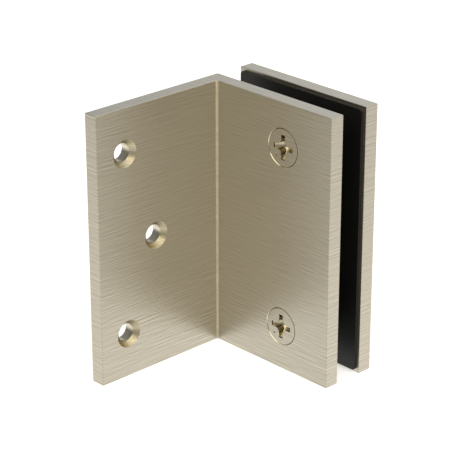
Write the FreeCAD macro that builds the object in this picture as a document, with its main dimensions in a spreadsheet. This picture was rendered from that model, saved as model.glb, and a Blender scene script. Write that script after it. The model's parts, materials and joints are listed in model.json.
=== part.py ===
import FreeCAD, Part
import math
import os

import Sketcher

# Glass-to-wall clamp bracket.
# The origin is the centre of the wall face. +X points out of the wall along the glass, +Y from the wall
# leg's free edge towards the clamp plate, +Z up. Lengths are in millimetres and angles in degrees.

# Driving dimensions: name, value, what it measures
SIZES = (
    ("plate_height", 89.0, "height of the angle and of the clamp plate"),
    ("leg_length", 54.0, "length of each leg, measured outside"),
    ("plate_thickness", 5.0, "thickness of both legs and of the clamp plate"),
    ("inside_round", 0.9, "radius in the angle's inside corner"),
    ("edge_round", 0.15, "radius on the outer edges of the metal pieces"),
    ("glass_thickness", 8.0, "glass that fits between the gaskets at rest"),
    ("gasket_thickness", 1.0, "thickness of each gasket"),
    ("gasket_inset", 1.0, "margin of bare metal round a gasket"),
    ("gasket_corner", 1.0, "radius of a gasket's corners"),
    ("gasket_hole", 12.6, "diameter of the holes in a gasket"),
    ("wall_hole", 6.0, "diameter of the wall leg's screw holes"),
    ("wall_sink", 9.1, "countersink diameter of the wall leg's holes"),
    ("wall_hole_spacing", 60.0, "height between the wall leg's two outer holes"),
    ("outer_hole_edge", 11.0, "outer holes, from the wall leg's free edge"),
    ("middle_hole_edge", 23.0, "middle hole, from the wall leg's free edge"),
    ("sink_angle", 90.0, "included angle of every countersink and screw head"),
    ("screw_spacing", 60.0, "height between the two clamp screws"),
    ("screw_end", 20.0, "clamp screws, from the glass leg's free end"),
    ("screw_hole", 6.4, "diameter of the clamp screws' holes in the glass leg"),
    ("screw_sink", 12.6, "countersink diameter for the clamp screws"),
    ("head_diameter", 12.05, "diameter of a clamp screw's head"),
    ("head_land", 0.15, "straight rim of a clamp screw's head"),
    ("head_gap", 0.05, "gap between a head's cone and its countersink"),
    ("shank_diameter", 5.9, "outside diameter of a clamp screw's thread"),
    ("screw_length", 16.0, "length of a clamp screw with its head"),
    ("tip_chamfer", 0.6, "chamfer at a clamp screw's tip"),
    ("recess_span", 8.0, "cross recess, from wing tip to wing tip"),
    ("recess_width", 1.6, "width of a wing of the cross recess"),
    ("recess_corner", 1.37, "radius between two wings of the cross recess"),
    ("recess_tip_depth", 0.35, "depth of the cross recess at a wing's tip"),
    ("recess_depth", 2.0, "depth of the cross recess in its middle"),
    ("recess_floor", 2.2, "diameter of the flat floor where the wings' slopes end"),
    ("dot_offset", 2.8, "thread mark on a head, sideways and down from its centre"),
    ("dot_radius", 1.0, "radius of the ball that leaves the thread mark"),
    ("dot_lift", 0.87, "height of that ball's centre above the head"),
    ("boss_diameter", 12.0, "diameter of the clamp plate's tapped bosses"),
    ("boss_height", 4.0, "height of the bosses above the clamp plate"),
    ("boss_chamfer", 0.5, "chamfer round a boss"),
    ("tapped_hole", 6.0, "diameter of the tapped holes"),
    ("tapped_mouth", 6.8, "diameter of the chamfer at a tapped hole's mouth"),
    ("tapped_depth", 8.0, "depth of the tapped holes from the boss"),
)

# Places along Y, from the glass leg's inner face to the clamp plate's outer face
LEG_FACE = "(sizes.leg_length / 2 - sizes.plate_thickness)"
LEG_BACK = "(sizes.leg_length / 2)"
REAR_GASKET_FACE = f"({LEG_BACK} + sizes.gasket_thickness + sizes.glass_thickness)"
CLAMP_FACE = f"({REAR_GASKET_FACE} + sizes.gasket_thickness)"
BOSS_FACE = f"({CLAMP_FACE} - sizes.boss_height)"

# Place of the clamp screws along X
SCREW_X = "(sizes.leg_length - sizes.screw_end)"

# A head's cone starts this far below the leg's face, the gap clear of its countersink, and the head's top is
# a rim higher
HEAD_CONE_DROP = (
    "((sizes.screw_sink - sizes.head_diameter) / 2 / tan(sizes.sink_angle * 1 deg / 2)"
    " - sizes.head_gap / sin(sizes.sink_angle * 1 deg / 2))"
)

# A whole turn in degrees, and the wings of a cross recess
FULL_TURN = 360
WINGS = 4

# Indices that a sketch uses for its own axes and origin, and for the points of a line or circle
X_AXIS = -1
Y_AXIS = -2
ORIGIN = (-1, 1)
START = 1
END = 2
CENTRE = 3

CUT_TYPES = (
    "PartDesign::Hole",
    "PartDesign::Groove",
    "PartDesign::Boolean",
    "PartDesign::SubtractiveSphere",
)


def make_sheet(doc):
    """Give every driving dimension a cell of its own, with its name as the alias."""
    sheet = doc.addObject("Spreadsheet::Sheet", "sizes")
    for row, (name, value, meaning) in enumerate(SIZES, start=1):
        sheet.set(f"A{row}", meaning)
        sheet.set(f"B{row}", str(value))
        sheet.setAlias(f"B{row}", name)
    doc.recompute()
    return sheet


def make_body(doc, name):
    """Start one piece of the bracket."""
    body = doc.addObject("PartDesign::Body", name)
    body.Label = name
    return body


def origin_feature(body, role):
    """One of the body's own planes or axes."""
    return next(feature for feature in body.Origin.OriginFeatures if feature.Role == role)


def place_on_plane(item, body, role, height):
    """Attach a sketch or a primitive to one of the body's planes, raised along its normal."""
    item.AttachmentSupport = [(origin_feature(body, role), "")]
    item.MapMode = "FlatFace"
    item.setExpression("AttachmentOffset.Base.z", height)


def add_sketch(body, name, role, height="0"):
    """A new sketch on one of the body's planes."""
    sketch = body.newObject("Sketcher::SketchObject", name)
    place_on_plane(sketch, body, role, height)
    return sketch


def add_size(sketch, kind, points, expression):
    """A dimension between points of the sketch, bound to the sheet."""
    value = float(sketch.evalExpression(expression))
    indices = [index for point in points for index in point]
    number = sketch.addConstraint(Sketcher.Constraint(kind, *indices, value))
    sketch.setExpression(f"Constraints[{number}]", expression)


def add_polygon(sketch, corners):
    """Lines round the corners, joined at their ends and kept level or upright where they start so."""
    points = [FreeCAD.Vector(x, y, 0) for x, y in corners]
    count = len(points)
    for number, start in enumerate(points):
        end = points[(number + 1) % count]
        line = sketch.addGeometry(Part.LineSegment(start, end), False)
        if start.x == end.x:
            sketch.addConstraint(Sketcher.Constraint("Vertical", line))
        elif start.y == end.y:
            sketch.addConstraint(Sketcher.Constraint("Horizontal", line))
    for line in range(count):
        following = (line + 1) % count
        sketch.addConstraint(Sketcher.Constraint("Coincident", line, END, following, START))


def add_centred_rectangle(sketch, left, right, height):
    """A rectangle between two places along the sketch's x, with its middle on the x axis."""
    low_x = float(sketch.evalExpression(left))
    high_x = float(sketch.evalExpression(right))
    half = float(sketch.evalExpression(height)) / 2
    add_polygon(sketch, [(low_x, -half), (high_x, -half), (high_x, half), (low_x, half)])
    add_size(sketch, "DistanceY", [(1, START), (1, END)], height)
    add_size(sketch, "DistanceY", [ORIGIN, (1, END)], f"{height} / 2")
    add_size(sketch, "DistanceX", [(0, START), (0, END)], f"{right} - {left}")
    if low_x == 0:
        sketch.addConstraint(Sketcher.Constraint("PointOnObject", 0, START, Y_AXIS))
    elif low_x < 0:
        add_size(sketch, "DistanceX", [(0, START), ORIGIN], f"-({left})")
    else:
        add_size(sketch, "DistanceX", [ORIGIN, (0, START)], left)


def add_circle_pair(sketch, place, spacing, diameter):
    """Two equal circles one above the other, mirrored across the x axis."""
    middle = float(sketch.evalExpression(place))
    half = float(sketch.evalExpression(spacing)) / 2
    radius = float(sketch.evalExpression(diameter)) / 2
    normal = FreeCAD.Vector(0, 0, 1)
    lower = sketch.addGeometry(Part.Circle(FreeCAD.Vector(middle, -half, 0), normal, radius), False)
    upper = sketch.addGeometry(Part.Circle(FreeCAD.Vector(middle, half, 0), normal, radius), False)
    sketch.addConstraint(Sketcher.Constraint("Equal", lower, upper))
    sketch.addConstraint(Sketcher.Constraint("Symmetric", lower, CENTRE, upper, CENTRE, X_AXIS))
    add_size(sketch, "Diameter", [(lower,)], diameter)
    add_size(sketch, "DistanceY", [(lower, CENTRE), (upper, CENTRE)], spacing)
    if middle < 0:
        add_size(sketch, "DistanceX", [(lower, CENTRE), ORIGIN], f"-({place})")
    else:
        add_size(sketch, "DistanceX", [ORIGIN, (lower, CENTRE)], place)


def add_cross(sketch, span, width, corner):
    """The outline of a cross recess: wings of one width, with a round corner between each two.

    Going round, each wing has its end, the side towards the centre, the round corner and the next wing's side
    out again. The arc of a corner runs from the outward side back to the inward one.
    """
    tip = float(sketch.evalExpression(span)) / 2
    half = float(sketch.evalExpression(width)) / 2
    radius = float(sketch.evalExpression(corner))
    bend = half + radius
    normal = FreeCAD.Vector(0, 0, 1)
    places = [(tip, -half), (tip, half), (bend, half), (bend, bend), (half, bend), (half, tip)]
    wings = []
    for wing in range(WINGS):
        angle = wing * FULL_TURN / WINGS
        turn = FreeCAD.Rotation(normal, angle)
        points = [turn.multVec(FreeCAD.Vector(x, y, 0)) for x, y in places]
        end_start, end_stop, bend_start, centre, bend_stop, side_stop = points
        arc_start = math.radians(angle + FULL_TURN / 2)
        arc_stop = arc_start + math.radians(FULL_TURN / WINGS)
        lines = [
            Part.LineSegment(end_start, end_stop),
            Part.LineSegment(end_stop, bend_start),
            Part.ArcOfCircle(Part.Circle(centre, normal, radius), arc_start, arc_stop),
            Part.LineSegment(bend_stop, side_stop),
        ]
        wings.append([sketch.addGeometry(line, False) for line in lines])

    first_arc = wings[0][2]
    for wing, (end, inward, arc, outward) in enumerate(wings):
        sideways = wing % 2 == 0
        following = wings[(wing + 1) % WINGS][0]
        sketch.addConstraint(Sketcher.Constraint("Vertical" if sideways else "Horizontal", end))
        sketch.addConstraint(Sketcher.Constraint("Horizontal" if sideways else "Vertical", inward))
        sketch.addConstraint(Sketcher.Constraint("Vertical" if sideways else "Horizontal", outward))
        sketch.addConstraint(Sketcher.Constraint("Coincident", end, END, inward, START))
        sketch.addConstraint(Sketcher.Constraint("Tangent", inward, END, arc, END))
        sketch.addConstraint(Sketcher.Constraint("Tangent", arc, START, outward, START))
        sketch.addConstraint(Sketcher.Constraint("Coincident", outward, END, following, START))
        if arc != first_arc:
            sketch.addConstraint(Sketcher.Constraint("Equal", first_arc, arc))

        along, across = ("DistanceX", "DistanceY") if sideways else ("DistanceY", "DistanceX")
        reach = [ORIGIN, (end, START)]
        whole = [(end, START), (end, END)]
        offset = [ORIGIN, (end, END)]
        if wing in (1, 2):
            whole.reverse()
            offset.reverse()
        if wing in (2, 3):
            reach.reverse()
        add_size(sketch, along, reach, f"{span} / 2")
        add_size(sketch, across, whole, width)
        add_size(sketch, across, offset, f"{width} / 2")
    add_size(sketch, "Radius", [(first_arc,)], corner)


def add_pad(body, name, sketch, length):
    """Extrude a sketch along its normal."""
    pad = body.newObject("PartDesign::Pad", name)
    pad.Profile = sketch
    pad.setExpression("Length", length)
    return pad


def round_edges(doc, body, name, base, radius, wanted):
    """Round those edges of the base feature that the test picks by their middle point."""
    doc.recompute()
    numbered = enumerate(base.Shape.Edges, start=1)
    edges = [f"Edge{number}" for number, edge in numbered if wanted(edge.CenterOfMass)]
    fillet = body.newObject("PartDesign::Fillet", name)
    fillet.Base = (base, edges)
    fillet.setExpression("Radius", radius)
    doc.recompute()
    return fillet


def drill(doc, body, name, sketch, diameter, mouth, depth=None):
    """Countersunk holes at the sketch's circles: right through, or flat-ended at a depth."""
    doc.recompute()
    hole = body.newObject("PartDesign::Hole", name)
    hole.Profile = sketch
    doc.recompute()
    hole.ThreadType = "None"
    hole.HoleCutType = "Countersink"
    hole.HoleCutCustomValues = True
    hole.setExpression("Diameter", diameter)
    hole.setExpression("HoleCutDiameter", mouth)
    hole.setExpression("HoleCutCountersinkAngle", "sizes.sink_angle")
    if depth is None:
        hole.DepthType = "ThroughAll"
    else:
        hole.DepthType = "Dimension"
        hole.DrillPoint = "Flat"
        hole.setExpression("Depth", depth)
    doc.recompute()
    return hole


def make_wall_bracket(doc, sheet):
    """The angle: an L section carried up its height, its edges eased, then drilled and countersunk."""
    body = make_body(doc, "wall_bracket")
    leg = sheet.leg_length
    half = sheet.leg_length / 2
    thickness = sheet.plate_thickness

    section = add_sketch(body, "angle_section", "XY_Plane")
    inner = half - thickness
    add_polygon(
        section,
        [(0, -half), (thickness, -half), (thickness, inner), (leg, inner), (leg, half), (0, half)],
    )
    add_size(section, "DistanceX", [(0, START), (0, END)], "sizes.plate_thickness")
    add_size(section, "DistanceY", [(3, START), (3, END)], "sizes.plate_thickness")
    add_size(section, "DistanceX", [(4, END), (4, START)], "sizes.leg_length")
    section.addConstraint(Sketcher.Constraint("PointOnObject", 5, START, Y_AXIS))
    add_size(section, "DistanceY", [(5, END), (5, START)], "sizes.leg_length")
    add_size(section, "DistanceY", [ORIGIN, (5, START)], "sizes.leg_length / 2")

    angle = add_pad(body, "angle", section, "sizes.plate_height")
    angle.SideType = "Symmetric"

    def in_corner(point):
        near_x = abs(point.x - thickness) < 2 * sheet.inside_round
        near_y = abs(point.y - inner) < 2 * sheet.inside_round
        return near_x and near_y and abs(point.z) < thickness

    corner = round_edges(doc, body, "inside_corner", angle, "sizes.inside_round", in_corner)
    round_edges(doc, body, "eased_edges", corner, "sizes.edge_round", lambda point: not in_corner(point))

    outer = add_sketch(body, "outer_wall_hole_centres", "YZ_Plane", "sizes.plate_thickness")
    outer_place = "(sizes.outer_hole_edge - sizes.leg_length / 2)"
    add_circle_pair(outer, outer_place, "sizes.wall_hole_spacing", "sizes.wall_hole")
    drill(doc, body, "outer_wall_holes", outer, "sizes.wall_hole", "sizes.wall_sink")

    middle = add_sketch(body, "middle_wall_hole_centre", "YZ_Plane", "sizes.plate_thickness")
    centre = FreeCAD.Vector(sheet.middle_hole_edge - half, 0, 0)
    circle = Part.Circle(centre, FreeCAD.Vector(0, 0, 1), sheet.wall_hole / 2)
    middle.addGeometry(circle, False)
    middle.addConstraint(Sketcher.Constraint("PointOnObject", 0, CENTRE, X_AXIS))
    add_size(middle, "Diameter", [(0,)], "sizes.wall_hole")
    distance = "sizes.leg_length / 2 - sizes.middle_hole_edge"
    add_size(middle, "DistanceX", [(0, CENTRE), ORIGIN], distance)
    drill(doc, body, "middle_wall_hole", middle, "sizes.wall_hole", "sizes.wall_sink")

    clamp = add_sketch(body, "clamp_screw_centres", "XZ_Plane", f"-{LEG_FACE}")
    add_circle_pair(clamp, SCREW_X, "sizes.screw_spacing", "sizes.screw_hole")
    drill(doc, body, "clamp_screw_holes", clamp, "sizes.screw_hole", "sizes.screw_sink")
    return body


def make_gasket(doc, name, back):
    """A die-cut rubber sheet with round corners and two holes; back is the y of its face towards +Y."""
    body = make_body(doc, name)
    outline = add_sketch(body, f"{name}_outline", "XZ_Plane", f"-{back}")
    add_centred_rectangle(
        outline,
        "sizes.gasket_inset",
        "(sizes.leg_length - sizes.gasket_inset)",
        "(sizes.plate_height - 2 * sizes.gasket_inset)",
    )
    add_circle_pair(outline, SCREW_X, "sizes.screw_spacing", "sizes.gasket_hole")
    sheet_pad = add_pad(body, f"{name}_sheet", outline, "sizes.gasket_thickness")
    doc.recompute()
    box = sheet_pad.Shape.BoundBox

    def at_corner(point):
        at_side = min(point.x - box.XMin, box.XMax - point.x) < box.YLength / 2
        at_end = min(point.z - box.ZMin, box.ZMax - point.z) < box.YLength / 2
        return at_side and at_end

    round_edges(doc, body, f"{name}_corners", sheet_pad, "sizes.gasket_corner", at_corner)
    return body


def make_clamp_plate(doc, sheet):
    """The loose plate, with two tapped bosses that stand through the gasket into the glass."""
    body = make_body(doc, "clamp_plate")
    outline = add_sketch(body, "clamp_outline", "XZ_Plane", f"-({CLAMP_FACE} + sizes.plate_thickness)")
    add_centred_rectangle(outline, "0", "sizes.leg_length", "sizes.plate_height")
    plate = add_pad(body, "clamp_sheet", outline, "sizes.plate_thickness")
    eased = round_edges(doc, body, "clamp_edges", plate, "sizes.edge_round", lambda point: True)
    face = eased.Shape.BoundBox.YMin

    rings = add_sketch(body, "boss_outlines", "XZ_Plane", f"-{CLAMP_FACE}")
    add_circle_pair(rings, SCREW_X, "sizes.screw_spacing", "sizes.boss_diameter")
    bosses = add_pad(body, "bosses", rings, "sizes.boss_height")
    doc.recompute()

    chamfer = body.newObject("PartDesign::Chamfer", "boss_chamfers")
    numbered = enumerate(bosses.Shape.Edges, start=1)
    top = face - sheet.boss_height
    rims = [f"Edge{number}" for number, edge in numbered if abs(edge.BoundBox.YMax - top) < sheet.edge_round]
    chamfer.Base = (bosses, rims)
    chamfer.setExpression("Size", "sizes.boss_chamfer")
    doc.recompute()

    taps = add_sketch(body, "tapped_hole_centres", "XZ_Plane", f"-{BOSS_FACE}")
    add_circle_pair(taps, SCREW_X, "sizes.screw_spacing", "sizes.tapped_hole")
    drill(doc, body, "tapped_holes", taps, "sizes.tapped_hole", "sizes.tapped_mouth", "sizes.tapped_depth")
    return body


def make_recess_punch(doc, name, top):
    """The tool that leaves a cross recess: a cross as deep as the recess, with its nose turned to a cone.

    It starts a rim above the head, and the cone runs from a wing's tip down to the flat floor in the middle.
    """
    body = make_body(doc, name)
    floor = f"({top} + sizes.recess_depth)"
    cross = add_sketch(body, f"{name}_cross", "XZ_Plane", f"-{floor}")
    add_cross(cross, "sizes.recess_span", "sizes.recess_width", "sizes.recess_corner")
    add_pad(body, f"{name}_bar", cross, "sizes.recess_depth + sizes.head_land")
    doc.recompute()

    floor_radius = "(sizes.recess_floor / 2)"
    outer_radius = "(sizes.recess_span / 2 + sizes.recess_width / 2)"
    slope = f"(sizes.recess_depth - sizes.recess_tip_depth) / (sizes.recess_span / 2 - {floor_radius})"
    rise = f"({outer_radius} - {floor_radius}) * {slope}"
    nose = add_sketch(body, f"{name}_nose_section", "XY_Plane")
    low_y = float(nose.evalExpression(floor))
    near_x = float(nose.evalExpression(floor_radius))
    far_x = float(nose.evalExpression(outer_radius))
    high_y = low_y - float(nose.evalExpression(rise))
    add_polygon(nose, [(near_x, low_y), (far_x, low_y), (far_x, high_y)])
    add_size(nose, "DistanceX", [ORIGIN, (0, START)], floor_radius)
    add_size(nose, "DistanceY", [ORIGIN, (0, START)], floor)
    add_size(nose, "DistanceX", [ORIGIN, (0, END)], outer_radius)
    add_size(nose, "DistanceY", [(1, END), (1, START)], rise)
    turned = body.newObject("PartDesign::Groove", f"{name}_nose")
    turned.Profile = nose
    turned.ReferenceAxis = (nose, ["V_Axis"])
    turned.Angle = FULL_TURN
    doc.recompute()
    return body


def make_clamp_screw(doc, name, height):
    """A flat-head screw turned about its own axis, with a cross recess and a thread mark in its head.

    The screw is drawn with its head's cone axis along Y and y = 0 at the leg's face, then placed.
    """
    body = make_body(doc, name)
    top = f"({HEAD_CONE_DROP} - sizes.head_land)"
    head_radius = "sizes.head_diameter / 2"
    shank_radius = "sizes.shank_diameter / 2"
    cone_depth = f"({head_radius} - {shank_radius}) / tan(sizes.sink_angle * 1 deg / 2)"
    tip_radius = f"({shank_radius} - sizes.tip_chamfer)"

    profile = add_sketch(body, f"{name}_profile", "XY_Plane")

    def value(expression):
        return float(profile.evalExpression(expression))

    head_y = value(top)
    cone_y = value(HEAD_CONE_DROP)
    neck_y = cone_y + value(cone_depth)
    tip_y = head_y + value("sizes.screw_length")
    bevel_y = tip_y - value("sizes.tip_chamfer")
    add_polygon(
        profile,
        [
            (0, head_y),
            (value(head_radius), head_y),
            (value(head_radius), cone_y),
            (value(shank_radius), neck_y),
            (value(shank_radius), bevel_y),
            (value(tip_radius), tip_y),
            (0, tip_y),
        ],
    )
    profile.addConstraint(Sketcher.Constraint("PointOnObject", 0, START, Y_AXIS))
    add_size(profile, "DistanceY", [ORIGIN, (0, START)], top)
    add_size(profile, "DistanceX", [(0, START), (0, END)], head_radius)
    add_size(profile, "DistanceY", [(1, START), (1, END)], "sizes.head_land")
    add_size(profile, "DistanceY", [(2, START), (2, END)], cone_depth)
    add_size(profile, "DistanceX", [ORIGIN, (3, START)], shank_radius)
    add_size(profile, "DistanceY", [(4, START), (4, END)], "sizes.tip_chamfer")
    add_size(profile, "DistanceX", [(5, END), (5, START)], tip_radius)
    add_size(profile, "DistanceY", [(6, END), (6, START)], "sizes.screw_length")
    turned = body.newObject("PartDesign::Revolution", f"{name}_turned")
    turned.Profile = profile
    turned.ReferenceAxis = (profile, ["V_Axis"])
    turned.Angle = FULL_TURN
    doc.recompute()

    recess = body.newObject("PartDesign::Boolean", f"{name}_recess")
    recess.Type = "Cut"
    recess.setObjects([make_recess_punch(doc, f"{name}_punch", top)])
    doc.recompute()

    dot = body.newObject("PartDesign::SubtractiveSphere", f"{name}_dot")
    place_on_plane(dot, body, "XZ_Plane", f"sizes.dot_lift - {top}")
    dot.setExpression("AttachmentOffset.Base.x", "-sizes.dot_offset")
    dot.setExpression("AttachmentOffset.Base.y", "-sizes.dot_offset")
    dot.setExpression("Radius", "sizes.dot_radius")

    body.setExpression("Placement.Base.x", SCREW_X)
    body.setExpression("Placement.Base.y", LEG_FACE)
    body.setExpression("Placement.Base.z", height)
    doc.recompute()
    return body


def check_document(doc, bodies):
    """Stop if an object failed, a cut took nothing away, or a piece isn't one sound solid."""
    for item in doc.Objects:
        if {"Invalid", "Error"} & set(item.State):
            raise RuntimeError(f"{item.Name} failed to build: {item.State}")
        if item.TypeId in CUT_TYPES and item.Shape.Volume >= item.BaseFeature.Shape.Volume:
            raise RuntimeError(f"{item.Name} cuts nothing")
    for body in bodies:
        shape = body.Shape
        if shape.isNull() or not shape.isValid() or len(shape.Solids) != 1:
            raise RuntimeError(f"{body.Label} isn't one sound solid")


def main():
    doc = FreeCAD.newDocument("clamp_bracket")
    sheet = make_sheet(doc)
    bodies = [
        make_wall_bracket(doc, sheet),
        make_gasket(doc, "front_gasket", f"({LEG_BACK} + sizes.gasket_thickness)"),
        make_gasket(doc, "rear_gasket", CLAMP_FACE),
        make_clamp_plate(doc, sheet),
        make_clamp_screw(doc, "clamp_screw_upper", "sizes.screw_spacing / 2"),
        make_clamp_screw(doc, "clamp_screw_lower", "-sizes.screw_spacing / 2"),
    ]
    doc.recompute()
    check_document(doc, bodies)
    os.makedirs("parts", exist_ok=True)
    for body in bodies:
        body.Shape.exportStep(f"parts/{body.Label}.step")
        box = body.Shape.BoundBox
        low = (round(box.XMin, 3), round(box.YMin, 3), round(box.ZMin, 3))
        high = (round(box.XMax, 3), round(box.YMax, 3), round(box.ZMax, 3))
        print(body.Label, low, high, "volume", round(body.Shape.Volume, 2))


main()
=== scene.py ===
"""Looks of the glass-to-wall clamp bracket: brushed plates, threaded clamp screws, rubber and a studio."""

import json
import math

import bpy
import numpy as np
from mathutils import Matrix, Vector


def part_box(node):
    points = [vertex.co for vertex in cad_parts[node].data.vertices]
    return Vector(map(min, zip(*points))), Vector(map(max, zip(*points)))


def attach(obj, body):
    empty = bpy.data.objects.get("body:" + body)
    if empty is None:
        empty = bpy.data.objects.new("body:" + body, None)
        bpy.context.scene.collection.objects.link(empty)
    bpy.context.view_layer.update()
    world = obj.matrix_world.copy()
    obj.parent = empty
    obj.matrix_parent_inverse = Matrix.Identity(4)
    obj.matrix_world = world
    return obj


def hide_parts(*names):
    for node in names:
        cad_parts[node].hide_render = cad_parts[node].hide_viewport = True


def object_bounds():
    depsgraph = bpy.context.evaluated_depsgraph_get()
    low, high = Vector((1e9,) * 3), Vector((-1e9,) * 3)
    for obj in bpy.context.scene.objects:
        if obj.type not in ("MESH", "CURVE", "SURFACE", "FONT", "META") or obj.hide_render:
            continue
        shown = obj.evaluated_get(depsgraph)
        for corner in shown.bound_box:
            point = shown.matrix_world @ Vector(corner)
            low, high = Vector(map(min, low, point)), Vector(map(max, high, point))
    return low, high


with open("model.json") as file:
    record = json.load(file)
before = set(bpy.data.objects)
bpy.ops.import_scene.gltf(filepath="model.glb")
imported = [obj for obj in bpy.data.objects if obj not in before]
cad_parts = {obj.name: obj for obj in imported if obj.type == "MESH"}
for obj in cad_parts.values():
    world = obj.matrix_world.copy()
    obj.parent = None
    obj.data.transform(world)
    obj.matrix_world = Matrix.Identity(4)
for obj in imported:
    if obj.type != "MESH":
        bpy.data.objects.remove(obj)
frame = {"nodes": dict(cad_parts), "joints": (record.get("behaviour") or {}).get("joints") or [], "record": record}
cad_low, cad_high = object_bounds()

MM = 0.001
QUARTER_TURN = math.pi / 2


def new_material(name):
    """An empty node material, its tree and its output."""
    material = bpy.data.materials.new(name)
    material.use_nodes = True
    tree = material.node_tree
    tree.nodes.clear()
    return material, tree, tree.nodes.new("ShaderNodeOutputMaterial")


def feed(tree, socket, value):
    """Give a node's input a value, which is another node's output or a value to set."""
    if isinstance(value, bpy.types.NodeSocket):
        tree.links.new(value, socket)
    else:
        socket.default_value = value


def math_node(tree, operation, first, second):
    """A Math node of two values, each a socket or a number."""
    node = tree.nodes.new("ShaderNodeMath")
    node.operation = operation
    feed(tree, node.inputs[0], first)
    feed(tree, node.inputs[1], second)
    return node.outputs[0]


def vector_node(tree, operation, first, second=None):
    """A Vector Math node of a socket and, where the operation takes one, a second vector."""
    node = tree.nodes.new("ShaderNodeVectorMath")
    node.operation = operation
    tree.links.new(first, node.inputs[0])
    if second is not None:
        node.inputs[1].default_value = second
    return node


def map_range(tree, value, low, high, to_low=0.0, to_high=1.0):
    """A Map Range node, which holds its end values outside the range."""
    node = tree.nodes.new("ShaderNodeMapRange")
    for name, number in (("From Min", low), ("From Max", high), ("To Min", to_low), ("To Max", to_high)):
        node.inputs[name].default_value = number
    tree.links.new(value, node.inputs["Value"])
    return node.outputs["Result"]


def mix_colours(tree, factor, first, second):
    """A Mix node between two colours, each a socket or a value."""
    node = tree.nodes.new("ShaderNodeMix")
    node.data_type = "RGBA"
    sockets = {socket.identifier: socket for socket in node.inputs}
    tree.links.new(factor, sockets["Factor_Float"])
    feed(tree, sockets["A_Color"], first)
    feed(tree, sockets["B_Color"], second)
    return next(socket for socket in node.outputs if socket.identifier == "Result_Color")


def colour_ramp(tree, value, stops):
    """A Color Ramp node over a value from 0 to 1, with a linear colour at each stop."""
    ramp = tree.nodes.new("ShaderNodeValToRGB")
    elements = ramp.color_ramp.elements
    while len(elements) < len(stops):
        elements.new(1.0)
    for element, (place, colour) in zip(elements, stops):
        element.position = place
        element.color = (*colour, 1.0)
    tree.links.new(value, ramp.inputs["Fac"])
    return ramp.outputs["Color"]


# Plating of each finish, as a linear colour
BRUSHED_NICKEL = (0.545, 0.503, 0.408)
END_NICKEL = (0.54, 0.516, 0.448)
# Cut countersinks: darker than the nickel elsewhere, which is painted shade in the hollow, and more saturated for
# the cut finish
CONE_NICKEL_PAINTED_SHADE = (0.43, 0.385, 0.275)
# Screw seats: lighter than the cut countersinks, a painted highlight for the ring round each head, on a smoother
# finish
SEAT_NICKEL_PAINTED_HIGHLIGHT = (0.53, 0.475, 0.345)
# Inside corner: lighter than the nickel elsewhere, a painted highlight along the fillet, on a rougher unbrushed
# finish
CORNER_NICKEL_PAINTED_HIGHLIGHT = (0.58, 0.53, 0.40)
# Screw recess: darker than the nickel elsewhere, painted shade in the hollow, on a punched finish
RECESS_NICKEL_PAINTED_SHADE = (0.45, 0.397, 0.285)
# Screw rim, cone, thread and tip: much darker than the nickel elsewhere, painted shade where they sit in the hole
# and the gap
SIDE_NICKEL_PAINTED_SHADE = (0.30, 0.27, 0.20)

# Noise of a grain: its detail, and the values at which metal is dark, middling and light
GRAIN_DETAIL = 3.0
GRAIN_DARK = 0.25
GRAIN_MIDDLE = 0.5
GRAIN_LIGHT = 0.75

# Share by which metal is rougher where its grain is dark, and smoother where it is light
ROUGHNESS_SWING = 0.15

# The brushing, with its painted light and shade on the scratches, is faint round the angle's inside corner, and
# stronger towards the free edges and low down
BRUSH_CORNER_X = 5.0 * MM
BRUSH_CORNER_Y = 22.0 * MM
FAINT_REACH = 22.0 * MM
EDGE_REACH = 46.0 * MM
LOW_START = -10.0 * MM
LOW_FULL = -36.0 * MM
FAINT_SHARE = 0.5
EDGE_SHARE = 0.75
LOW_SHARE = 0.85

# A scratch's painted shaded edge lies this far from its painted lit edge
SCRATCH_WIDTH = 0.5 * MM

# Gasket rubber, with a fine grain in its colour and bump
RUBBER_BLACK = (0.005, 0.005, 0.005)
RUBBER_SWING = 0.2
RUBBER_ROUGHNESS = 0.45
RUBBER_SPECULAR = 0.35
RUBBER_GRAIN = (2500.0, 2500.0, 2500.0)
RUBBER_GRAIN_DEPTH = 0.01 * MM


def streaks(tree, scale, drop=0.0):
    """Noise on Object coordinates, stretched by a scale a metre along each axis and moved down by a drop."""
    place = tree.nodes.new("ShaderNodeTexCoord")
    stretch = tree.nodes.new("ShaderNodeMapping")
    stretch.inputs["Scale"].default_value = scale
    stretch.inputs["Location"].default_value = (0.0, 0.0, drop * scale[2])
    tree.links.new(place.outputs["Object"], stretch.inputs["Vector"])
    noise = tree.nodes.new("ShaderNodeTexNoise")
    noise.inputs["Scale"].default_value = 1.0
    noise.inputs["Detail"].default_value = GRAIN_DETAIL
    tree.links.new(stretch.outputs["Vector"], noise.inputs["Vector"])
    return noise.outputs["Fac"]


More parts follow.
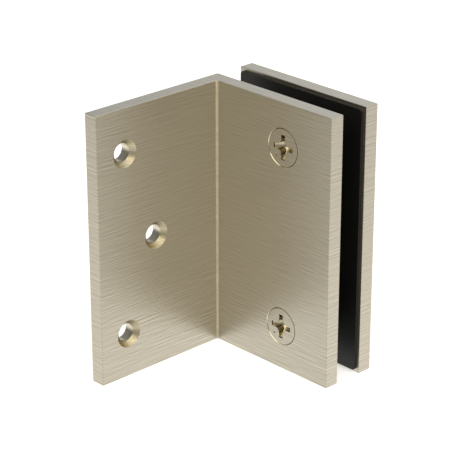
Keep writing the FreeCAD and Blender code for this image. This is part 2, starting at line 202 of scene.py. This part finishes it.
def scratches_with_painted_light_and_shade(tree, grain):
    """Brushed scratches with a painted lit edge and a painted shaded edge: noise less the same noise a scratch's
    width off.

    Its swing about the middle, the strength of the painted light and shade, grows with the larger distance from
    the inside corner along X or Y, and downwards.
    """
    place = tree.nodes.new("ShaderNodeTexCoord")
    split = tree.nodes.new("ShaderNodeSeparateXYZ")
    tree.links.new(place.outputs["Object"], split.inputs[0])
    along_glass = math_node(tree, "SUBTRACT", split.outputs["X"], BRUSH_CORNER_X)
    along_wall = math_node(tree, "SUBTRACT", BRUSH_CORNER_Y, split.outputs["Y"])
    away = math_node(tree, "MAXIMUM", along_glass, along_wall)
    aside = map_range(tree, away, FAINT_REACH, EDGE_REACH, FAINT_SHARE, EDGE_SHARE)
    below = map_range(tree, split.outputs["Z"], LOW_START, LOW_FULL, FAINT_SHARE, LOW_SHARE)
    # Each scratch's painted lit and shaded edges, in the colour as well as the bump and roughness
    edges = math_node(tree, "SUBTRACT", streaks(tree, grain), streaks(tree, grain, SCRATCH_WIDTH))
    swing = math_node(tree, "MULTIPLY", edges, math_node(tree, "MAXIMUM", aside, below))
    return math_node(tree, "ADD", swing, GRAIN_MIDDLE)


def new_finish(name):
    """A node material of one Principled shader, its tree and the shader."""
    material, tree, output = new_material(name)
    shader = tree.nodes.new("ShaderNodeBsdfPrincipled")
    tree.links.new(shader.outputs[0], output.inputs["Surface"])
    return material, tree, shader


def add_grain(tree, shader, grain, colour, swing, dark, light, depth):
    """Put a grain into a shader's colour and bump.

    The colour goes from a share below to a share above itself between the noise's dark and light values.
    """
    darker = [value * (1 - swing) for value in colour]
    lighter = [value * (1 + swing) for value in colour]
    toned = colour_ramp(tree, grain, ((dark, darker), (light, lighter)))
    tree.links.new(toned, shader.inputs["Base Color"])
    relief = tree.nodes.new("ShaderNodeBump")
    relief.inputs["Distance"].default_value = depth
    tree.links.new(grain, relief.inputs["Height"])
    tree.links.new(relief.outputs["Normal"], shader.inputs["Normal"])


def metal(name, plating, grain, swing, roughness, depth, anisotropy=0.0):
    """Metal with a grain: noise drawn out along the brushing, in its colour, roughness and bump.

    Swing is the share by which the colour goes up and down, and depth is the bump's. Anisotropy marks a face
    brushed level: it spreads a reflection along the brushing, and the scratches have a painted lit edge and a
    painted shaded edge in their colour, which also drive the roughness and bump.
    """
    material, tree, shader = new_finish(name)
    shader.inputs["Metallic"].default_value = 1.0
    scratches = scratches_with_painted_light_and_shade(tree, grain) if anisotropy else streaks(tree, grain)
    add_grain(tree, shader, scratches, plating, swing, GRAIN_DARK, GRAIN_LIGHT, depth)
    rougher = roughness * (1 + ROUGHNESS_SWING)
    smoother = roughness * (1 - ROUGHNESS_SWING)
    worn = map_range(tree, scratches, GRAIN_DARK, GRAIN_LIGHT, rougher, smoother)
    tree.links.new(worn, shader.inputs["Roughness"])
    if anisotropy:
        shader.inputs["Anisotropic"].default_value = anisotropy
        tangent = tree.nodes.new("ShaderNodeTangent")
        tangent.direction_type = "RADIAL"
        tangent.axis = "Z"
        tree.links.new(tangent.outputs[0], shader.inputs["Tangent"])
    return material


def rubber():
    """Satin black sheet rubber with a fine grain."""
    material, tree, shader = new_finish("gasket_rubber")
    grain = streaks(tree, RUBBER_GRAIN)
    add_grain(tree, shader, grain, RUBBER_BLACK, RUBBER_SWING, 0.0, 1.0, RUBBER_GRAIN_DEPTH)
    shader.inputs["Roughness"].default_value = RUBBER_ROUGHNESS
    shader.inputs["Specular IOR Level"].default_value = RUBBER_SPECULAR
    return material


brushed_level = metal(
    "brushed_level",
    BRUSHED_NICKEL,
    grain=(100.0, 100.0, 4000.0),
    swing=0.18,
    roughness=0.36,
    depth=0.04 * MM,
    anisotropy=0.48,
)
brushed_end = metal(
    "brushed_end",
    END_NICKEL,
    grain=(130.0, 4000.0, 4000.0),
    swing=0.16,
    roughness=0.34,
    depth=0.03 * MM,
)
# The countersinks' darker plating is painted shade in the hollow
cut_countersink_painted_shade = metal(
    "cut_countersink_painted_shade",
    CONE_NICKEL_PAINTED_SHADE,
    grain=(130.0, 130.0, 2600.0),
    swing=0.14,
    roughness=0.42,
    depth=0.012 * MM,
)
# The seats' lighter plating is a painted highlight; their lower roughness is a real smoother finish
screw_seat_painted_highlight = metal(
    "screw_seat_painted_highlight",
    SEAT_NICKEL_PAINTED_HIGHLIGHT,
    grain=(600.0, 600.0, 600.0),
    swing=0.05,
    roughness=0.20,
    depth=0.002 * MM,
)
# The inside corner's lighter plating is a painted highlight along the fillet
inside_corner = metal(
    "inside_corner",
    CORNER_NICKEL_PAINTED_HIGHLIGHT,
    grain=(300.0, 300.0, 900.0),
    swing=0.06,
    roughness=0.60,
    depth=0.01 * MM,
)
drilled_bore = metal(
    "drilled_bore",
    BRUSHED_NICKEL,
    grain=(600.0, 1500.0, 1500.0),
    swing=0.10,
    roughness=0.30,
    depth=0.01 * MM,
)
# The recess's darker plating is painted shade in the hollow
punched_recess_painted_shade = metal(
    "punched_recess_painted_shade",
    RECESS_NICKEL_PAINTED_SHADE,
    grain=(900.0, 900.0, 900.0),
    swing=0.06,
    roughness=0.28,
    depth=0.005 * MM,
)
# The darker plating on the screw's sides is painted shade in the hole and the gap
dull_side_painted_shade = metal(
    "dull_side_painted_shade",
    SIDE_NICKEL_PAINTED_SHADE,
    grain=(600.0, 900.0, 600.0),
    swing=0.12,
    roughness=0.40,
    depth=0.01 * MM,
)
black_rubber = rubber()

# A plate's finishes and a screw's, in the order of their material slots
PLATE_FINISHES = (brushed_level, brushed_end, cut_countersink_painted_shade, drilled_bore, inside_corner, screw_seat_painted_highlight)
LEVEL, END, CONE, BORE, CORNER, SEAT = range(len(PLATE_FINISHES))
SCREW_FINISHES = (brushed_level, punched_recess_painted_shade, dull_side_painted_shade)
HEAD, RECESS, SIDE = range(len(SCREW_FINISHES))

# An upper or lower face meets Z more squarely than this
END_FACING = 0.7

# In a hole, a face that meets the axis less squarely than this is a countersink's or a bore's
HOLE_REACH = 6.6 * MM
CONE_FACING = 0.95
BORE_FACING = 0.30

# Inside corner of the angle, unbrushed and with lighter plating as a painted highlight along the fillet: upright
# faces turned to both legs, in this place
CORNER_TURN = 0.02
CORNER_RISE = 0.1
CORNER_START_Y = 20.5 * MM
CORNER_END_X = 6.5 * MM


def set_finishes(mesh, finishes):
    """Give a mesh its finishes, in place of those it had."""
    mesh.materials.clear()
    for material in finishes:
        mesh.materials.append(material)


def face_arrays(mesh):
    """Centres and normals of a mesh's faces, one row each."""
    count = len(mesh.polygons)
    centres = np.empty(count * 3)
    normals = np.empty(count * 3)
    mesh.polygons.foreach_get("center", centres)
    mesh.polygons.foreach_get("normal", normals)
    return centres.reshape(-1, 3), normals.reshape(-1, 3)


def hole_axes():
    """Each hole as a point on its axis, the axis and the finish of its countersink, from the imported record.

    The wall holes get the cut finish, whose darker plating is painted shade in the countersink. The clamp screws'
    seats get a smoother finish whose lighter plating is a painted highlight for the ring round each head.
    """
    mounts = {mount["name"]: mount for mount in frame["record"]["mounts"]}
    outer = mounts["outer_wall_holes"]
    half = outer["dims"]["spacing_y_mm"] * MM / 2
    middle = mounts["middle_wall_hole"]
    turning = [joint for joint in frame["joints"] if joint["type"] == "hinge"]
    outer_points = [np.array(outer["pos_m"]) + (0, 0, rise) for rise in (-half, half)]
    holes = [(point, np.array(outer["axis"]), CONE) for point in outer_points]
    holes.append((np.array(middle["pos_m"]), np.array(middle["axis"]), CONE))
    holes.extend((np.array(joint["pos_m"]), np.array(joint["axis"]), SEAT) for joint in turning)
    return holes


def finish_plate(node):
    """Brush a plate level and its upper and lower faces lengthways, give its holes their cut finishes, whose
    darker plating is painted shade, and give its inside corner lighter plating as a painted highlight.
    """
    mesh = node.data
    set_finishes(mesh, PLATE_FINISHES)
    centres, normals = face_arrays(mesh)
    rise = np.abs(normals[:, 2])
    index = np.where(rise > END_FACING, END, LEVEL)
    hollow = (normals[:, 0] > CORNER_TURN) & (normals[:, 1] < -CORNER_TURN) & (rise < CORNER_RISE)
    in_corner = (centres[:, 1] > CORNER_START_Y) & (centres[:, 0] < CORNER_END_X)
    index = np.where(hollow & in_corner, CORNER, index)
    for point, axis, cone in hole_axes():
        offset = centres - point
        along = offset @ axis
        radius = np.linalg.norm(offset - along[:, None] * axis, axis=1)
        facing = np.abs(normals @ axis)
        within = radius < HOLE_REACH
        for limit, finish in ((CONE_FACING, cone), (BORE_FACING, BORE)):
            index = np.where(within & (facing < limit), finish, index)
    mesh.polygons.foreach_set("material_index", index.astype(np.int32))
    mesh.update()


# Clamp screw, as turned and punched
HEAD_RIM = 0.15 * MM
HEAD_EASE = 0.05 * MM
SHANK_RADIUS = 2.95 * MM
NECK_LENGTH = 0.5 * MM
TIP_CHAMFER = 0.6 * MM
RECESS_TIP = 4.0 * MM
RECESS_HALF_WIDTH = 0.8 * MM
RECESS_CORNER = 2.0 * MM
RECESS_TIP_DEPTH = 0.65 * MM
RECESS_DEPTH = 3.2 * MM
RECESS_FLOOR_RADIUS = 1.5 * MM
RECESS_EASE = 0.06 * MM

# Thread, with its crest and root as shares of half a pitch
THREAD_PITCH = 1.0 * MM
THREAD_DEPTH = 0.55 * MM
THREAD_CREST = 0.16
THREAD_ROOT = 0.24

# Round dot on the head, as a ball lifted above the face
DOT_OFFSET = 2.8 * MM
DOT_BALL = 1.0 * MM
DOT_LIFT = 0.87 * MM

# Columns of a screw's grid in a quarter turn, along a wing's half end, a wing's side and a round corner
END_COLUMNS = 6
SIDE_COLUMNS = 10
CORNER_COLUMNS = 28

# Rows of a screw's grid
FLOOR_ROWS = 20
WALL_ROWS = 10
EASE_ROWS = 4
FACE_ROWS = 26
CONE_ROWS = 6
THREAD_ROWS_PER_TURN = 14
END_ROWS = 6

# Edges between faces that turn by more than this are sharp
SHARP_EDGE = math.radians(35)

# A head's brushed face looks out along -Y as squarely as this, and a face behind it, with darker plating as
# painted shade, back along +Y
HEAD_FACING = 0.99
BACK_FACING = 0.1

# Angle that rounding may add where two stretches of the recess meet, and least sine to divide by
TINY = 1e-9


def recess_columns():
    """Angles of a screw's columns, closer together where the recess needs it, the same in each quarter."""
    bend = RECESS_HALF_WIDTH + RECESS_CORNER
    end = math.atan2(RECESS_HALF_WIDTH, RECESS_TIP)
    side = math.atan2(RECESS_HALF_WIDTH, bend)
    stretches = [
        np.linspace(0, end, END_COLUMNS, endpoint=False),
        np.linspace(end, side, SIDE_COLUMNS, endpoint=False),
        np.linspace(side, QUARTER_TURN - side, CORNER_COLUMNS, endpoint=False),
        np.linspace(QUARTER_TURN - side, QUARTER_TURN - end, SIDE_COLUMNS, endpoint=False),
        np.linspace(QUARTER_TURN - end, QUARTER_TURN, END_COLUMNS, endpoint=False),
    ]
    one = np.concatenate(stretches)
    return np.concatenate([one + turn * QUARTER_TURN for turn in range(4)])


def recess_outline(angle):
    """Distance from the screw's axis to the cross's outline along each angle.

    Within a wing's end it is the tip over the cosine, along its side the half width over the sine, and in
    between it is the near crossing with the round corner's circle.
    """
    away = np.abs((angle + QUARTER_TURN / 2) % QUARTER_TURN - QUARTER_TURN / 2)
    bend = RECESS_HALF_WIDTH + RECESS_CORNER
    to_centre = bend * (np.cos(away) + np.sin(away))
    corner = to_centre - np.sqrt(np.maximum(to_centre**2 - (2 * bend**2 - RECESS_CORNER**2), 0))
    end = RECESS_TIP / np.cos(away)
    side = RECESS_HALF_WIDTH / np.maximum(np.sin(away), TINY)
    on_end = away <= math.atan2(RECESS_HALF_WIDTH, RECESS_TIP) + TINY
    on_side = away <= math.atan2(RECESS_HALF_WIDTH, bend) + TINY
    return np.where(on_end, end, np.where(on_side, side, corner))


def recess_floor(radius):
    """Depth of the recess: a cone from the wing tips down to the flat floor."""
    slope = (RECESS_DEPTH - RECESS_TIP_DEPTH) / (RECESS_TIP - RECESS_FLOOR_RADIUS)
    return RECESS_DEPTH - slope * np.maximum(radius - RECESS_FLOOR_RADIUS, 0)


def head_dot(x, z):
    """Depth of the round dot: the part of a ball that reaches below the head's face."""
    away = (x + DOT_OFFSET) ** 2 + (z + DOT_OFFSET) ** 2
    return np.maximum(np.sqrt(np.maximum(DOT_BALL**2 - away, 0)) - DOT_LIFT, 0)


def thread_radius(angle, depth, start, stop):
    """Radius of the threaded shank: crests and roots as flats, slopes between, wound right-handed.

    The phase is the depth over the pitch plus the angle over a turn, and a crest is at half of it. The
    thread fades in below the neck, and the tip's chamfer cuts it off.
    """
    phase = (depth / THREAD_PITCH + angle / (2 * math.pi)) % 1.0
    from_crest = np.abs(phase - 0.5) * 2
    cut = np.clip((from_crest - THREAD_CREST) / (1 - THREAD_CREST - THREAD_ROOT), 0, 1)
    fade = np.clip((depth - start) / THREAD_PITCH, 0, 1)
    wound = SHANK_RADIUS - THREAD_DEPTH * cut * fade
    chamfered = SHANK_RADIUS - (depth - (stop - TIP_CHAMFER))
    return np.minimum(wound, chamfered)


def screw_grid(head_radius, length):
    """Points of a clamp screw as rows of columns: across the head, sunk from its face, and up.

    The rows run from the middle of the recess's floor, up its wall, over the head's face and rim, down the
    cone and the thread, and over the tip. The first and last row are one point each, repeated.
    """
    angle = recess_columns()[None, :]
    outline = recess_outline(angle)
    ease = np.linspace(0, QUARTER_TURN, EASE_ROWS)[1:, None]

    outward = np.linspace(0, 1, FLOOR_ROWS)[:, None]
    floor_r = outward * outline
    floor_y = recess_floor(floor_r)

    up = np.linspace(0, 1, WALL_ROWS)[1:, None]
    wall_foot = recess_floor(outline)
    wall_y = wall_foot + (RECESS_EASE - wall_foot) * up
    wall_r = outline + 0 * up

    mouth_r = outline + RECESS_EASE * (1 - np.cos(ease))
    mouth_y = RECESS_EASE * (1 - np.sin(ease)) + 0 * outline

    across = np.linspace(0, 1, FACE_ROWS)[1:, None]
    face_start = outline + RECESS_EASE
    face_r = face_start + (head_radius - HEAD_EASE - face_start) * across
    face_y = head_dot(face_r * np.cos(angle), face_r * np.sin(angle))

    rim_r = head_radius - HEAD_EASE * (1 - np.sin(ease)) + 0 * angle
    rim_y = HEAD_EASE * (1 - np.cos(ease)) + 0 * angle

    down = np.linspace(0, 1, CONE_ROWS)[:, None]
    cone_r = head_radius + (SHANK_RADIUS - head_radius) * down + 0 * angle
    cone_y = HEAD_RIM + (head_radius - SHANK_RADIUS) * down + 0 * angle

    neck = HEAD_RIM + head_radius - SHANK_RADIUS
    turns = (length - neck) / THREAD_PITCH
    thread_rows = int(turns * THREAD_ROWS_PER_TURN)
    thread_y = np.linspace(neck, length, thread_rows)[1:, None] + 0 * angle
    thread_r = thread_radius(angle, thread_y, neck + NECK_LENGTH, length)

    end_r = np.linspace(1, 0, END_ROWS)[1:, None] * thread_r[-1:]
    end_y = length + 0 * end_r

    radius = np.concatenate([floor_r, wall_r, mouth_r, face_r, rim_r, cone_r, thread_r, end_r])
    depth = np.concatenate([floor_y, wall_y, mouth_y, face_y, rim_y, cone_y, thread_y, end_y])
    return radius * np.cos(angle), depth, radius * np.sin(angle)


def grid_mesh(name, x, y, z):
    """A closed mesh over a grid whose columns go round and whose first and last rows shrink to a point."""
    rows, columns = x.shape
    points = np.stack([x, y, z], axis=-1)
    body = points[1:-1].reshape(-1, 3)
    vertices = np.concatenate([body, points[0, :1], points[-1, :1]])
    number = np.arange((rows - 2) * columns).reshape(rows - 2, columns)
    following = np.roll(number, -1, axis=1)
    quads = np.stack([number[:-1], number[1:], following[1:], following[:-1]], axis=-1).reshape(-1, 4)
    first = len(body)
    last = first + 1
    start_fan = np.stack([np.full(columns, first), number[0], following[0]], axis=-1)
    end_fan = np.stack([number[-1], np.full(columns, last), following[-1]], axis=-1)
    mesh = bpy.data.meshes.new(name)
    mesh.from_pydata(vertices.tolist(), [], quads.tolist() + start_fan.tolist() + end_fan.tolist())
    mesh.validate()
    mesh.polygons.foreach_set("use_smooth", np.ones(len(mesh.polygons), bool))
    mesh.set_sharp_from_angle(angle=SHARP_EDGE)
    mesh.update()
    return mesh


def add_clamp_screw(node, name, body):
    """A clamp screw with its thread, in the place and to the size of its CAD node.

    The head's face is brushed. The recess and the dot get darker plating, painted shade in the hollows, on a
    punched finish, and the rim, cone, thread and tip get much darker plating, painted shade where they sit in the
    hole and the gap.
    """
    low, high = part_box(node)
    middle_x = (low.x + high.x) / 2
    middle_z = (low.z + high.z) / 2
    head_radius = (high.x - low.x) / 2
    x, y, z = screw_grid(head_radius, high.y - low.y)
    mesh = grid_mesh(name, x + middle_x, y + low.y, z + middle_z)
    screw = bpy.data.objects.new(name, mesh)
    bpy.context.scene.collection.objects.link(screw)
    set_finishes(mesh, SCREW_FINISHES)
    centres, normals = face_arrays(mesh)
    sunk = centres[:, 1] - low.y
    away = np.hypot(centres[:, 0] - middle_x, centres[:, 2] - middle_z)
    face = (normals[:, 1] < -HEAD_FACING) & (sunk < HEAD_RIM)
    behind = (normals[:, 1] > BACK_FACING) & (sunk > HEAD_RIM)
    neck = HEAD_RIM + head_radius - SHANK_RADIUS
    outside = behind | (away > head_radius - HEAD_EASE) | (sunk > neck)
    index = np.where(outside, SIDE, np.where(face, HEAD, RECESS))
    mesh.polygons.foreach_set("material_index", index.astype(np.int32))
    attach(screw, body)
    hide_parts(node)


# Camera, from the photograph's vanishing points
CAMERA_TARGET = (0.0252, 0.0083, 0.0043)
CAMERA_AZIMUTH = 46.39
CAMERA_ELEVATION = 23.04
CAMERA_DISTANCE = 0.5837
CAMERA_LENS = 149.09
CAMERA_SENSOR = 36.0
CAMERA_NEAR = 0.01

# White floor
FLOOR_SIZE = 6.0
FLOOR_WHITE = (0.9, 0.9, 0.9, 1.0)

# The floor's glow to the camera round the bracket, and the distances over which it grows to plain white
FLOOR_GLOW = 0.55
GLOW_NEAR = 0.5
GLOW_FAR = 1.5

# The white backdrop's middle, its reach as a cosine from there, and the plain walls of the room round it
BACKDROP_AZIMUTH = 175.0
BACKDROP_START = 0.31
BACKDROP_FULL = 0.80
WHITE = (1.0, 1.0, 1.0, 1.0)
ROOM_WALLS = (0.245, 0.245, 0.24, 1.0)

# The ceiling's light, and the heights of a ray between which it takes over from the walls
CEILING = (0.70, 0.72, 0.76, 1.0)
CEILING_START = 0.70
CEILING_FULL = 0.97

# The room's own floor, from the side opposite the backdrop round to the backdrop
FLOOR_OPPOSITE = (0.455, 0.445, 0.435)
FLOOR_FRONT_CORNER = (0.765, 0.775, 0.79)
FLOOR_FRONT = (0.955, 0.92, 0.86)
FLOOR_SIDE = (0.70, 0.67, 0.61)
FLOOR_BACK_CORNER = (0.52, 0.49, 0.445)
FLOOR_BY_BACKDROP = (0.78, 0.78, 0.77)
FLOOR_UNDER_BACKDROP = (0.915, 0.915, 0.905)

# Those parts of the floor at their cosines from the backdrop's middle
ROOM_FLOOR = (
    (-1.0, FLOOR_OPPOSITE),
    (-0.75, FLOOR_FRONT_CORNER),
    (-0.60, FLOOR_FRONT),
    (-0.20, FLOOR_SIDE),
    (0.45, FLOOR_BACK_CORNER),
    (0.70, FLOOR_BY_BACKDROP),
    (0.85, FLOOR_UNDER_BACKDROP),
)

# Share of the floor's light near the bracket, from this height of a ray down, and far off at eye level
FLOOR_NEAR_HEIGHT = -0.50
FLOOR_NEAR_SHARE = 1.79
FLOOR_FAR_SHARE = 0.18

# Heights of a ray between which the floor gives way to the walls
EYE_LEVEL_LOW = -0.06
EYE_LEVEL_HIGH = 0.08

# Takes the height out of a ray
LEVEL_ONLY = (1.0, 1.0, 0.0)

# Softboxes above the camera, to its left and right, and what they have in common
SOFTBOX_AZIMUTHS = {"left_softbox": 7.0, "right_softbox": 85.0}
SOFTBOX_ELEVATION = 40.0
SOFTBOX_DISTANCE = 1.3
SOFTBOX_WIDTH = 1.50
SOFTBOX_HEIGHT = 1.00
SOFTBOX_RADIANCE = 2.1
SOFTBOX_WARMTH = (1.0, 0.93, 0.74)


def direction(azimuth, elevation):
    """Unit vector out from the bracket: azimuth in degrees from -Y towards +X, and elevation upwards."""
    turn = math.radians(azimuth)
    rise = math.radians(elevation)
    return Vector((math.sin(turn) * math.cos(rise), -math.cos(turn) * math.cos(rise), math.sin(rise)))


def add_camera():
    """The photograph's camera, level, looking at a point inside the bracket."""
    lens = bpy.data.cameras.new("photo_camera")
    lens.lens = CAMERA_LENS
    lens.sensor_width = CAMERA_SENSOR
    lens.sensor_fit = "HORIZONTAL"
    lens.clip_start = CAMERA_NEAR
    camera = bpy.data.objects.new("photo_camera", lens)
    back = direction(CAMERA_AZIMUTH, CAMERA_ELEVATION)
    camera.location = Vector(CAMERA_TARGET) + back * CAMERA_DISTANCE
    camera.rotation_euler = (-back).to_track_quat("-Z", "Y").to_euler()
    bpy.context.scene.collection.objects.link(camera)
    bpy.context.scene.camera = camera


def add_floor():
    """A pale floor under the bracket: white paint, with a glow to the camera that keeps the shadow faint.

    The glow grows with the distance from the bracket, so that the floor runs into the white backdrop. The
    metal doesn't mirror this floor but the room's own pale floor, which is part of the room's light.
    """
    half = FLOOR_SIZE / 2
    level = cad_low.z
    mesh = bpy.data.meshes.new("studio_floor")
    corners = [(-half, -half, level), (half, -half, level), (half, half, level), (-half, half, level)]
    mesh.from_pydata(corners, [], [(0, 1, 2, 3)])
    floor = bpy.data.objects.new("studio_floor", mesh)
    floor.visible_glossy = False
    bpy.context.scene.collection.objects.link(floor)
    material, tree, output = new_material("white_floor")
    paint = tree.nodes.new("ShaderNodeBsdfDiffuse")
    paint.inputs["Color"].default_value = FLOOR_WHITE
    path = tree.nodes.new("ShaderNodeLightPath")
    place = tree.nodes.new("ShaderNodeTexCoord")
    away = vector_node(tree, "LENGTH", place.outputs["Object"]).outputs["Value"]
    grown = map_range(tree, away, GLOW_NEAR, GLOW_FAR, FLOOR_GLOW, 1.0)
    to_camera = math_node(tree, "MULTIPLY", path.outputs["Is Camera Ray"], grown)
    glow = tree.nodes.new("ShaderNodeEmission")
    tree.links.new(to_camera, glow.inputs["Strength"])
    painted = tree.nodes.new("ShaderNodeAddShader")
    tree.links.new(paint.outputs[0], painted.inputs[0])
    tree.links.new(glow.outputs[0], painted.inputs[1])
    tree.links.new(painted.outputs[0], output.inputs["Surface"])
    mesh.materials.append(material)


def add_room():
    """A plain room with a pale floor and ceiling, and a white backdrop that the camera and the metal see.

    The camera sees the backdrop on every side, so that the picture is white all round. A mirrored or
    refracted ray sees it behind the bracket, where it stands, and the room on the other sides.
    """
    world = bpy.data.worlds.new("studio_room")
    bpy.context.scene.world = world
    world.use_nodes = True
    tree = world.node_tree
    tree.nodes.clear()
    output = tree.nodes.new("ShaderNodeOutputWorld")
    ray = tree.nodes.new("ShaderNodeTexCoord").outputs["Generated"]
    split = tree.nodes.new("ShaderNodeSeparateXYZ")
    tree.links.new(ray, split.inputs[0])
    height = split.outputs["Z"]
    flat = vector_node(tree, "MULTIPLY", ray, LEVEL_ONLY).outputs["Vector"]
    level = vector_node(tree, "NORMALIZE", flat).outputs["Vector"]
    cosine = vector_node(tree, "DOT_PRODUCT", level, direction(BACKDROP_AZIMUTH, 0)).outputs["Value"]

    path = tree.nodes.new("ShaderNodeLightPath")
    mirrored = math_node(tree, "MAXIMUM", path.outputs["Is Glossy Ray"], path.outputs["Is Transmission Ray"])
    behind = map_range(tree, cosine, BACKDROP_START, BACKDROP_FULL)
    walls = mix_colours(tree, math_node(tree, "MULTIPLY", mirrored, behind), ROOM_WALLS, WHITE)
    above = mix_colours(tree, map_range(tree, height, CEILING_START, CEILING_FULL), walls, CEILING)

    floor_stops = [((place + 1) / 2, colour) for place, colour in ROOM_FLOOR]
    floor_colour = colour_ramp(tree, map_range(tree, cosine, -1.0, 1.0), floor_stops)
    below = vector_node(tree, "SCALE", floor_colour)
    floor_share = map_range(tree, height, FLOOR_NEAR_HEIGHT, 0.0, FLOOR_NEAR_SHARE, FLOOR_FAR_SHARE)
    tree.links.new(floor_share, below.inputs["Scale"])
    upwards = map_range(tree, height, EYE_LEVEL_LOW, EYE_LEVEL_HIGH)
    room_colour = mix_colours(tree, upwards, below.outputs["Vector"], above)

    room = tree.nodes.new("ShaderNodeBackground")
    tree.links.new(room_colour, room.inputs["Color"])
    backdrop = tree.nodes.new("ShaderNodeBackground")
    backdrop.inputs["Color"].default_value = WHITE
    seen = tree.nodes.new("ShaderNodeMixShader")
    tree.links.new(path.outputs["Is Camera Ray"], seen.inputs["Fac"])
    tree.links.new(room.outputs[0], seen.inputs[1])
    tree.links.new(backdrop.outputs[0], seen.inputs[2])
    tree.links.new(seen.outputs[0], output.inputs["Surface"])


def add_softboxes():
    """Soft lamps above the camera and to each side. A lamp's power is its radiance times pi and its area."""
    for name, azimuth in SOFTBOX_AZIMUTHS.items():
        lamp = bpy.data.lights.new(name, "AREA")
        lamp.shape = "RECTANGLE"
        lamp.size = SOFTBOX_WIDTH
        lamp.size_y = SOFTBOX_HEIGHT
        lamp.color = SOFTBOX_WARMTH
        lamp.energy = SOFTBOX_RADIANCE * math.pi * SOFTBOX_WIDTH * SOFTBOX_HEIGHT
        softbox = bpy.data.objects.new(name, lamp)
        out = direction(azimuth, SOFTBOX_ELEVATION)
        softbox.location = out * SOFTBOX_DISTANCE
        softbox.rotation_euler = (-out).to_track_quat("-Z", "Y").to_euler()
        bpy.context.scene.collection.objects.link(softbox)


for plate in ("wall_bracket", "clamp_plate"):
    finish_plate(frame["nodes"][plate])
for gasket in ("front_gasket", "rear_gasket"):
    set_finishes(frame["nodes"][gasket].data, [black_rubber])
add_clamp_screw("clamp_screw_upper", "threaded_screw_upper", "upper_screw")
add_clamp_screw("clamp_screw_lower", "threaded_screw_lower", "lower_screw")

add_camera()
add_floor()
add_room()
add_softboxes()
bpy.context.scene.view_settings.view_transform = "Standard"
